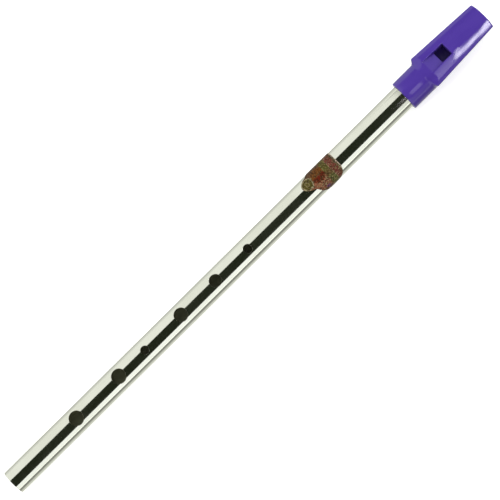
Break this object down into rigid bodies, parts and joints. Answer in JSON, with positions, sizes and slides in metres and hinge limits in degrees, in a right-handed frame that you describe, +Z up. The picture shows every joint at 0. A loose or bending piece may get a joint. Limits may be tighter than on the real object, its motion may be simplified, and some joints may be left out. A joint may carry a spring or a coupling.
{
  "type": "tin whistle",
  "caption": "Six-hole tin whistle: a plated brass tube with a moulded mouthpiece that slides and turns on it for tuning.",
  "frame": {"origin": "centre of the tube's open foot, on the bore's axis", "axes": "+X along the bore from the foot to the tip of the mouthpiece, +Z up through the mouthpiece's window"},
  "size_m": [0.3695, 0.0226, 0.0185],
  "materials": {
    "plated_brass": "polished nickel plate on brass",
    "moulded_plastic": "glossy as moulded",
    "block_plastic": "as moulded",
    "decal_film": "printed transfer under gloss lacquer",
    "adhesive": "dull film"
  },
  "bodies": {
    "tube": {"tube": "plated_brass", "decal": "decal_film"},
    "film": {"socket_adhesive": "adhesive"},
    "head": {"mouthpiece": "moulded_plastic", "fipple_block": "block_plastic"}
  },
  "joints": [
    {"name": "tuning_slide", "type": "slide", "parent": "tube", "child": "film", "axis": [1, 0, 0], "range_m": [0, 0.01]},
    {"name": "head_turn", "type": "hinge", "parent": "film", "child": "head", "pos_m": [0.3173, 0, 0], "axis": [1, 0, 0], "continuous": true}
  ]
}
